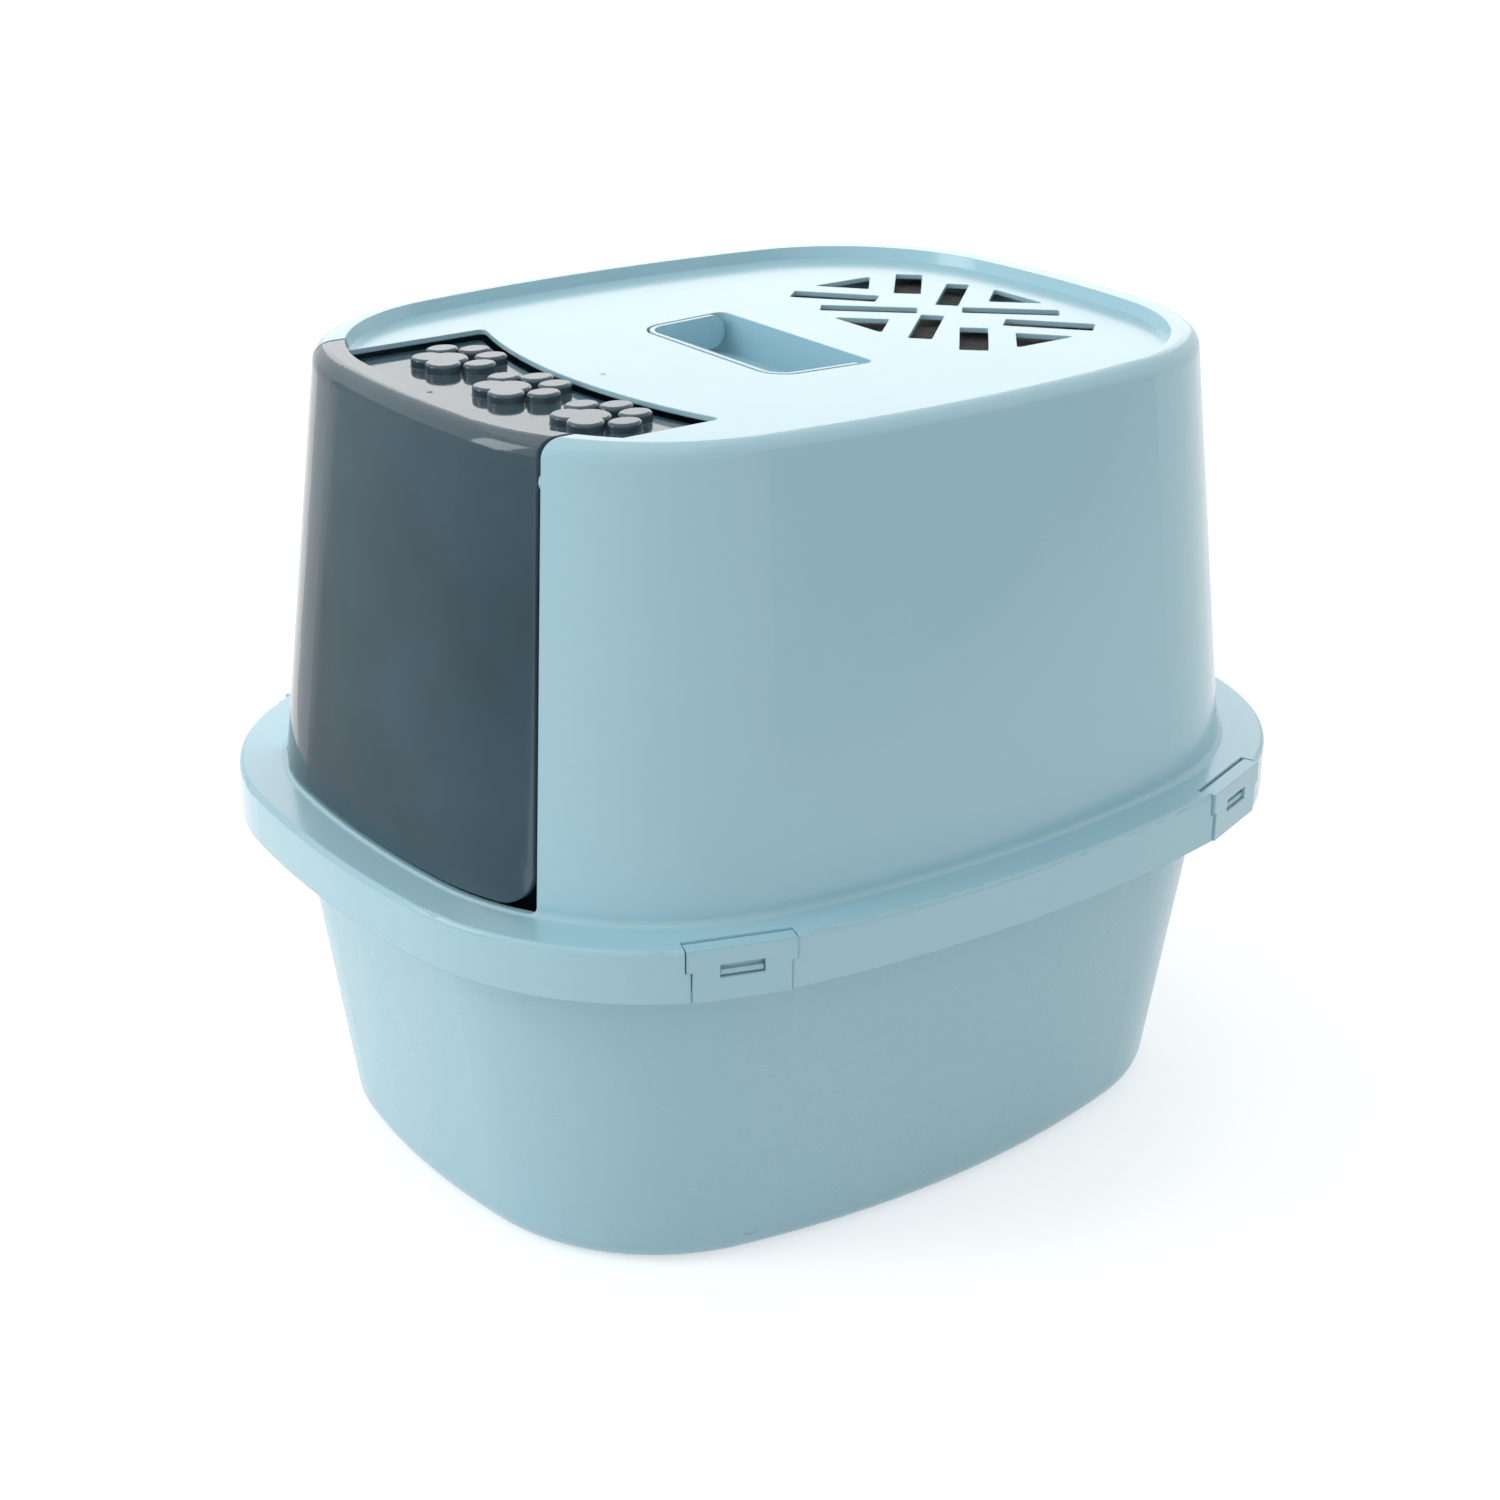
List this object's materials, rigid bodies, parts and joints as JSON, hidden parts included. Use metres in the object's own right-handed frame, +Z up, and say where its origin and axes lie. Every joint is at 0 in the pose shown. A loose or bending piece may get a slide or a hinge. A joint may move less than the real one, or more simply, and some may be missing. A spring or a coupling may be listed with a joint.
{
  "type": "covered litter box",
  "caption": "Covered cat litter box: deep rounded pan, latched hood with a raised-rim top, see-through swing flap with paw bosses, carry handle and a filtered vent grille.",
  "frame": {"origin": "middle of the base on the floor, at the centre of the bounding box in plan", "axes": "+Z is up, the door faces -Y, Y runs along the length, and +X is to the right of someone who stands in front of the door and looks along +Y"},
  "size_m": [0.416, 0.504, 0.4],
  "materials": {
    "pan_plastic": "satin moulded polypropylene, pale grey-blue",
    "hood_plastic": "glossy moulded polypropylene, pale grey-blue",
    "latch_plastic": "satin moulded polypropylene, pale grey-blue",
    "smoked_plastic": "glossy smoked transparent polystyrene",
    "charcoal_felt": "needled felt loaded with charcoal"
  },
  "bodies": {
    "base": {"pan": "pan_plastic", "hood": "hood_plastic"},
    "flap": {"flap": "smoked_plastic"},
    "handle": {"carry_handle": "hood_plastic"},
    "tray": {"filter_tray": "hood_plastic", "charcoal_filter": "charcoal_felt"},
    "latch_front_right": {"latch_front_right": "latch_plastic"},
    "latch_front_left": {"latch_front_left": "latch_plastic"},
    "latch_rear_right": {"latch_rear_right": "latch_plastic"},
    "latch_rear_left": {"latch_rear_left": "latch_plastic"}
  },
  "joints": [
    {"name": "flap_swing", "type": "hinge", "parent": "base", "child": "flap", "pos_m": [0, -0.187, 0.382], "axis": [1, 0, 0], "range_deg": [-50, 75]},
    {"name": "handle_lift", "type": "hinge", "parent": "base", "child": "handle", "pos_m": [0, 0.01, 0.3855], "axis": [-1, 0, 0], "range_deg": [0, 95]},
    {"name": "tray_drop", "type": "hinge", "parent": "base", "child": "tray", "pos_m": [0, 0.0475, 0.384], "axis": [-1, 0, 0], "range_deg": [0, 85]},
    {"name": "latch_front_right_open", "type": "hinge", "parent": "base", "child": "latch_front_right", "pos_m": [0.18296, -0.14941, 0.1902], "axis": [-0.3241, -0.946, 0], "range_deg": [0, 90]},
    {"name": "latch_front_left_open", "type": "hinge", "parent": "base", "child": "latch_front_left", "pos_m": [-0.18296, -0.14941, 0.1902], "axis": [-0.3241, 0.946, 0], "range_deg": [0, 90]},
    {"name": "latch_rear_right_open", "type": "hinge", "parent": "base", "child": "latch_rear_right", "pos_m": [0.18296, 0.14941, 0.1902], "axis": [0.3241, -0.946, 0], "range_deg": [0, 90]},
    {"name": "latch_rear_left_open", "type": "hinge", "parent": "base", "child": "latch_rear_left", "pos_m": [-0.18296, 0.14941, 0.1902], "axis": [0.3241, 0.946, 0], "range_deg": [0, 90]}
  ]
}
